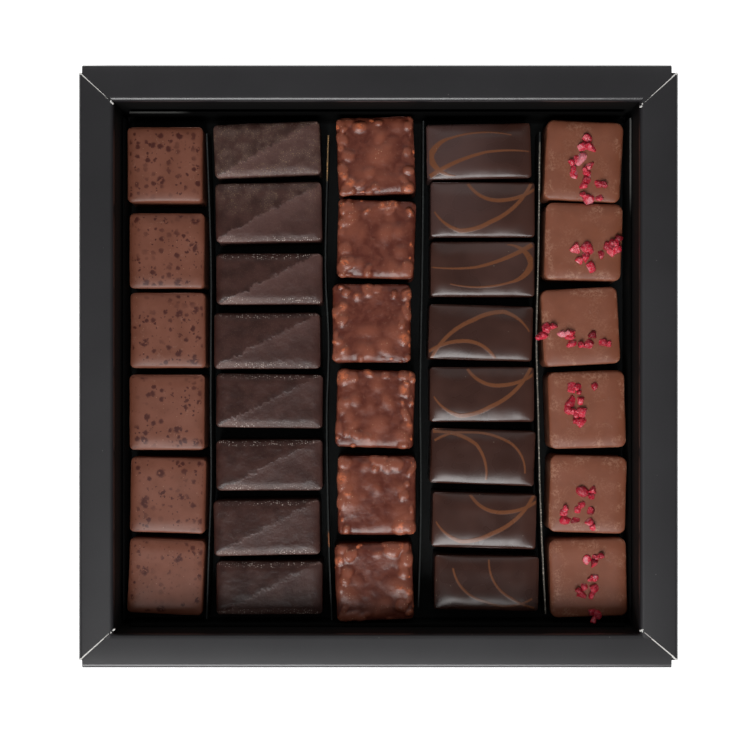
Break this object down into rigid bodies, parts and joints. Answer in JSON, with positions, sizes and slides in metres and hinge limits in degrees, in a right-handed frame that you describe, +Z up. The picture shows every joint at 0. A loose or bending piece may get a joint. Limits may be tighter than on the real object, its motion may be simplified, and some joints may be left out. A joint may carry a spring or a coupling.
{
  "type": "box of chocolate pralines",
  "caption": "Open square tray of black card with a wide mitred rim, card dividers and columns of coated chocolate squares and bars.",
  "frame": {"origin": "middle of the tray's underside", "axes": "+Z up out of the open tray, +Y towards the tray's far side, +X to the right; the columns of pralines run along Y"},
  "size_m": [0.182, 0.183, 0.03],
  "materials": {
    "tray_card": "matt coated black card with a white core at its cut edges",
    "insert_card": "thin black card",
    "divider_card": "thin black card with worn edges",
    "milk_chocolate": "satin tempered milk chocolate",
    "dark_chocolate": "glossy tempered dark chocolate",
    "berry": "freeze-dried berry pieces"
  },
  "bodies": {
    "root": {"tray": "tray_card", "insert": "insert_card", "divider_1": "divider_card", "divider_2": "divider_card", "divider_3": "divider_card", "divider_4": "divider_card", "speckled_square_1": "milk_chocolate", "speckled_square_2": "milk_chocolate", "speckled_square_3": "milk_chocolate", "speckled_square_4": "milk_chocolate", "speckled_square_5": "milk_chocolate", "speckled_square_6": "milk_chocolate", "grained_bar_1": "dark_chocolate", "grained_bar_2": "dark_chocolate", "grained_bar_3": "dark_chocolate", "grained_bar_4": "dark_chocolate", "grained_bar_5": "dark_chocolate", "grained_bar_6": "dark_chocolate", "grained_bar_7": "dark_chocolate", "grained_bar_8": "dark_chocolate", "nut_square_1": "milk_chocolate", "nut_square_2": "milk_chocolate", "nut_square_3": "milk_chocolate", "nut_square_4": "milk_chocolate", "nut_square_5": "milk_chocolate", "nut_square_6": "milk_chocolate", "swirl_bar_1": "dark_chocolate", "swirl_bar_2": "dark_chocolate", "swirl_bar_3": "dark_chocolate", "swirl_bar_4": "dark_chocolate", "swirl_bar_5": "dark_chocolate", "swirl_bar_6": "dark_chocolate", "swirl_bar_7": "dark_chocolate", "swirl_bar_8": "dark_chocolate", "berry_square_1": "milk_chocolate", "berry_square_2": "milk_chocolate", "berry_square_3": "milk_chocolate", "berry_square_4": "milk_chocolate", "berry_square_5": "milk_chocolate", "berry_square_6": "milk_chocolate"}
  },
  "joints": []
}
